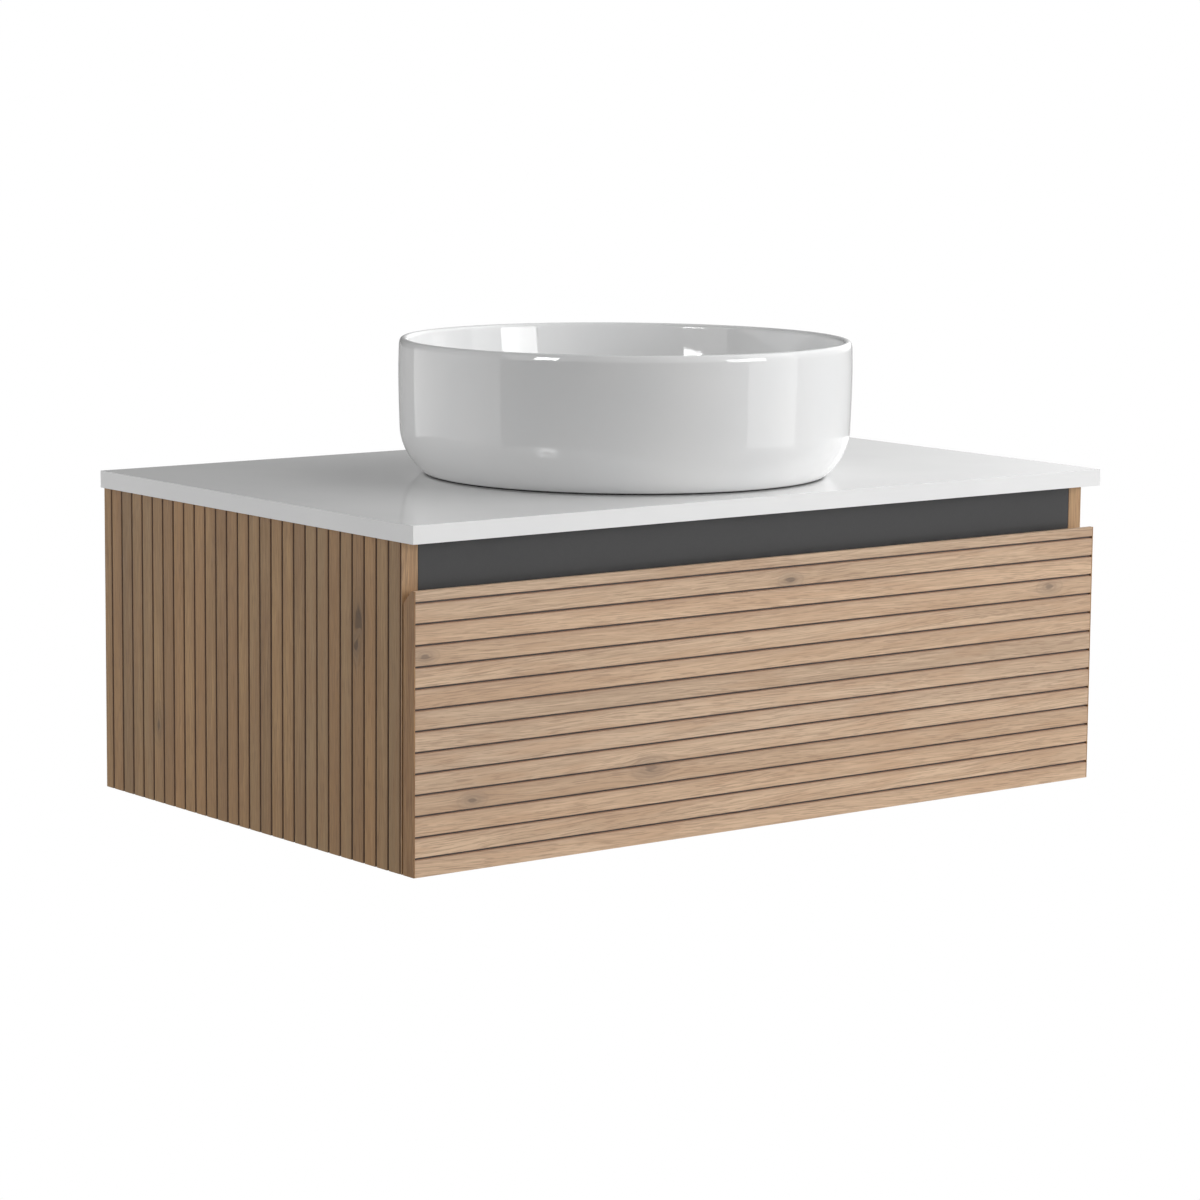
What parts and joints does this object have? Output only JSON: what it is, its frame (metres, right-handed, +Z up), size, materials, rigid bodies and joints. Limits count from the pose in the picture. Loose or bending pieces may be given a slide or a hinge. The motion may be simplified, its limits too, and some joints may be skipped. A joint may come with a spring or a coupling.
{
  "type": "vessel sink on vanity",
  "caption": "Wall-hung vanity with a slatted oak drawer front and sides, thin white worktop and a round ceramic vessel basin with waste and trap.",
  "frame": {"origin": "on the wall plane, at the centre of the wall rail's back face", "axes": "+Z up, +Y into the wall, -Y towards the user, +X to the right of someone facing the vanity"},
  "size_m": [0.808, 0.51, 0.429],
  "materials": {
    "oak": "matte",
    "oak_edge": "matte",
    "grey_board": "matte",
    "anthracite": "matte",
    "white_worktop": "satin",
    "white_glaze": "gloss",
    "zinc_steel": "satin",
    "chrome": "polished",
    "black_rubber": "matte",
    "black_plastic": "satin"
  },
  "bodies": {
    "cabinet": {"side_panel_left": "oak", "side_panel_right": "oak", "side_edge_band_left": "oak_edge", "side_edge_band_right": "oak_edge", "bottom_panel": "oak", "front_rail": "anthracite", "rear_top_rail": "oak", "rear_bottom_rail": "oak", "worktop": "white_worktop", "worktop_bracket_1": "zinc_steel", "worktop_bracket_2": "zinc_steel", "worktop_bracket_3": "zinc_steel", "worktop_bracket_4": "zinc_steel", "hanger_left": "black_plastic", "hanger_right": "black_plastic", "hanger_hook_left": "zinc_steel", "hanger_hook_right": "zinc_steel", "wall_rail": "zinc_steel", "wall_screw_1": "zinc_steel", "wall_screw_2": "zinc_steel", "wall_screw_3": "zinc_steel", "wall_screw_4": "zinc_steel", "runner_cabinet_left": "zinc_steel", "runner_cabinet_right": "zinc_steel", "basin": "white_glaze", "basin_seal": "black_rubber", "waste_body": "chrome", "waste_cartridge": "black_plastic", "waste_washer": "black_rubber", "waste_nut": "chrome", "trap_inlet_nut": "chrome", "trap_dip_tube": "chrome", "trap_head": "chrome", "trap_cup": "chrome", "trap_outlet_nut": "chrome", "trap_outlet_pipe": "chrome", "wall_rosette": "chrome"},
    "drawer": {"drawer_front": "oak", "drawer_front_band_left": "oak_edge", "drawer_front_band_right": "oak_edge", "drawer_inner_front": "grey_board", "drawer_side_left": "grey_board", "drawer_side_right": "grey_board", "drawer_back_left": "grey_board", "drawer_back_right": "grey_board", "drawer_recess_left": "grey_board", "drawer_recess_right": "grey_board", "drawer_recess_front": "grey_board", "drawer_bottom": "grey_board", "drawer_screw_1": "zinc_steel", "drawer_screw_2": "zinc_steel", "drawer_screw_3": "zinc_steel", "drawer_screw_4": "zinc_steel", "runner_drawer_left": "zinc_steel", "runner_drawer_right": "zinc_steel"},
    "middle_left": {"runner_middle_left": "zinc_steel"},
    "middle_right": {"runner_middle_right": "zinc_steel"},
    "plug": {"waste_plug": "chrome", "waste_plug_seal": "black_rubber"}
  },
  "joints": [
    {"name": "drawer_slide", "type": "slide", "parent": "cabinet", "child": "drawer", "axis": [0, -1, 0], "range_m": [0, 0.45]},
    {"name": "middle_left_slide", "type": "slide", "parent": "cabinet", "child": "middle_left", "axis": [0, -1, 0], "range_m": [0, 0.225]},
    {"name": "middle_right_slide", "type": "slide", "parent": "cabinet", "child": "middle_right", "axis": [0, -1, 0], "range_m": [0, 0.225]},
    {"name": "plug_lift", "type": "slide", "parent": "cabinet", "child": "plug", "axis": [0, 0, 1], "range_m": [0, 0.009]}
  ],
  "couplings": [
    {"joint": "middle_left_slide", "follows": "drawer_slide", "ratio": 0.5},
    {"joint": "middle_right_slide", "follows": "drawer_slide", "ratio": 0.5}
  ]
}
